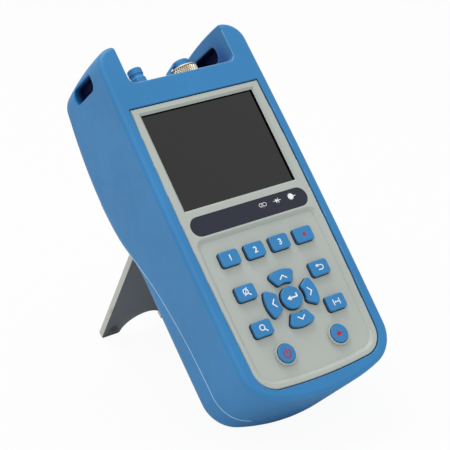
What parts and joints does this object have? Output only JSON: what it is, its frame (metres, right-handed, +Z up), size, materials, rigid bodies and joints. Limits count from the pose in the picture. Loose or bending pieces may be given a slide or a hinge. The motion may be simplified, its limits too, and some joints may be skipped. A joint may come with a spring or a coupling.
{
  "type": "optical time domain reflectometer",
  "caption": "Handheld fibre tester leaning on its back stand: shell with two ears around capped optical connectors, a screen, keypad with a cursor ring, hidden sockets.",
  "frame": {"origin": "middle of the bounding box's base, on the table that the instrument leans on", "axes": "+Z up from the table, +X to the right as the user sees the screen, +Y away from the user; the panel faces -Y and up"},
  "size_m": [0.0966, 0.2006, 0.1964],
  "materials": {
    "shell_plastic": "satin blue moulding with a fine grain",
    "panel_plastic": "fine matt warm grey",
    "screen_glass": "smooth tinted cover glass",
    "black_foam": "soft closed-cell foam",
    "display_module": "dark panel that is switched off",
    "ribbon_film": "amber film",
    "strip_film": "dark printed film",
    "clear_guide": "clear rod",
    "key_plastic": "satin blue key top with dark navy sides",
    "grey_silicone": "soft silicone",
    "steel_bright": "bright plated steel",
    "board_green": "solder mask",
    "black_resin": "moulded black resin",
    "module_metal": "bead-blasted can",
    "spool_plastic": "natural moulding",
    "fibre_yellow": "coated fibre",
    "cell_wrap": "shrink film over steel cans",
    "pack_plastic": "moulded pack cradle",
    "port_metal": "anodised plate",
    "nickel": "nickel-plated brass",
    "zirconia": "polished ceramic",
    "nut_metal": "nickel-plated, diamond-knurled",
    "cap_rubber": "soft blue rubber",
    "socket_black": "black resin",
    "flap_rubber": "soft blue rubber",
    "stand_plastic": "dark grey moulding with a fine grain",
    "bumper_rubber": "soft pads",
    "steel_dark": "black-zinc steel",
    "label_film": "blank silver film"
  },
  "bodies": {
    "casing": {"front_shell": "shell_plastic", "back_shell": "shell_plastic", "front_panel": "panel_plastic", "screen_glass": "screen_glass", "screen_gasket": "black_foam", "display_pad": "black_foam", "display": "display_module", "display_ribbon": "ribbon_film", "label_strip": "strip_film", "lamp_guides": "clear_guide", "keypad_mat": "grey_silicone", "dome_switches": "steel_bright", "key_board_screws": "steel_bright", "board_screws": "steel_bright", "plate_screws": "steel_bright", "hinge_pin": "steel_bright", "key_board": "board_green", "main_board": "board_green", "keypad_connector": "black_resin", "board_chips": "black_resin", "buzzer": "black_resin", "optical_module": "module_metal", "laser_diode": "module_metal", "fibre_spool": "spool_plastic", "fibre_coil": "fibre_yellow", "pigtail": "fibre_yellow", "battery_cells": "cell_wrap", "battery_sleeve": "pack_plastic", "port_plate": "port_metal", "test_port": "nickel", "light_port": "nickel", "test_sleeve": "zirconia", "light_sleeve": "zirconia", "cap_tether": "cap_rubber", "charger_jack": "socket_black", "usb_socket": "socket_black", "case_screws": "steel_dark", "rating_label": "label_film"},
    "menu_key": {"menu_key": "key_plastic"},
    "file_key": {"file_key": "key_plastic"},
    "info_key": {"info_key": "key_plastic"},
    "light_key": {"light_key": "key_plastic"},
    "zoom_off_key": {"zoom_off_key": "key_plastic"},
    "escape_key": {"escape_key": "key_plastic"},
    "zoom_key": {"zoom_key": "key_plastic"},
    "marker_key": {"marker_key": "key_plastic"},
    "enter_key": {"enter_key": "key_plastic"},
    "power_key": {"power_key": "key_plastic"},
    "laser_key": {"laser_key": "key_plastic"},
    "right_key": {"right_key": "key_plastic"},
    "up_key": {"up_key": "key_plastic"},
    "left_key": {"left_key": "key_plastic"},
    "down_key": {"down_key": "key_plastic"},
    "nut": {"knurled_nut": "nut_metal"},
    "test_cap": {"test_cap": "cap_rubber"},
    "light_cap": {"light_cap": "cap_rubber"},
    "flap": {"port_flap": "flap_rubber"},
    "stand": {"kickstand": "stand_plastic", "stand_bumpers": "bumper_rubber"}
  },
  "joints": [
    {"name": "menu_key_press", "type": "slide", "parent": "casing", "child": "menu_key", "axis": [0, 0.7735, -0.6338], "range_m": [0, 0.0009], "stiffness_N_per_m": 1200},
    {"name": "file_key_press", "type": "slide", "parent": "casing", "child": "file_key", "axis": [0, 0.7735, -0.6338], "range_m": [0, 0.0009], "stiffness_N_per_m": 1200},
    {"name": "info_key_press", "type": "slide", "parent": "casing", "child": "info_key", "axis": [0, 0.7735, -0.6338], "range_m": [0, 0.0009], "stiffness_N_per_m": 1200},
    {"name": "light_key_press", "type": "slide", "parent": "casing", "child": "light_key", "axis": [0, 0.7735, -0.6338], "range_m": [0, 0.0009], "stiffness_N_per_m": 1200},
    {"name": "zoom_off_key_press", "type": "slide", "parent": "casing", "child": "zoom_off_key", "axis": [0, 0.7735, -0.6338], "range_m": [0, 0.0009], "stiffness_N_per_m": 1200},
    {"name": "escape_key_press", "type": "slide", "parent": "casing", "child": "escape_key", "axis": [0, 0.7735, -0.6338], "range_m": [0, 0.0009], "stiffness_N_per_m": 1200},
    {"name": "zoom_key_press", "type": "slide", "parent": "casing", "child": "zoom_key", "axis": [0, 0.7735, -0.6338], "range_m": [0, 0.0009], "stiffness_N_per_m": 1200},
    {"name": "marker_key_press", "type": "slide", "parent": "casing", "child": "marker_key", "axis": [0, 0.7735, -0.6338], "range_m": [0, 0.0009], "stiffness_N_per_m": 1200},
    {"name": "enter_key_press", "type": "slide", "parent": "casing", "child": "enter_key", "axis": [0, 0.7735, -0.6338], "range_m": [0, 0.0009], "stiffness_N_per_m": 1200},
    {"name": "power_key_press", "type": "slide", "parent": "casing", "child": "power_key", "axis": [0, 0.7735, -0.6338], "range_m": [0, 0.0009], "stiffness_N_per_m": 1200},
    {"name": "laser_key_press", "type": "slide", "parent": "casing", "child": "laser_key", "axis": [0, 0.7735, -0.6338], "range_m": [0, 0.0009], "stiffness_N_per_m": 1200},
    {"name": "right_key_press", "type": "slide", "parent": "casing", "child": "right_key", "axis": [0, 0.7735, -0.6338], "range_m": [0, 0.0009], "stiffness_N_per_m": 1200},
    {"name": "up_key_press", "type": "slide", "parent": "casing", "child": "up_key", "axis": [0, 0.7735, -0.6338], "range_m": [0, 0.0009], "stiffness_N_per_m": 1200},
    {"name": "left_key_press", "type": "slide", "parent": "casing", "child": "left_key", "axis": [0, 0.7735, -0.6338], "range_m": [0, 0.0009], "stiffness_N_per_m": 1200},
    {"name": "down_key_press", "type": "slide", "parent": "casing", "child": "down_key", "axis": [0, 0.7735, -0.6338], "range_m": [0, 0.0009], "stiffness_N_per_m": 1200},
    {"name": "stand_hinge", "type": "hinge", "parent": "casing", "child": "stand", "pos_m": [0, 0.02533, 0.10116], "axis": [1, 0, 0], "range_deg": [-75.6, 0]},
    {"name": "nut_spin", "type": "hinge", "parent": "casing", "child": "nut", "pos_m": [0.018, 0.04477, 0.16591], "axis": [0, 0.6338, 0.7735], "continuous": true},
    {"name": "test_cap_pull", "type": "slide", "parent": "casing", "child": "test_cap", "axis": [0, 0.6338, 0.7735], "range_m": [0, 0.03]},
    {"name": "light_cap_pull", "type": "slide", "parent": "casing", "child": "light_cap", "axis": [0, 0.6338, 0.7735], "range_m": [0, 0.03]},
    {"name": "flap_hinge", "type": "hinge", "parent": "casing", "child": "flap", "pos_m": [0.04815, 0.00899, 0.12541], "axis": [0, 0.6338, 0.7735], "range_deg": [0, 110]}
  ]
}
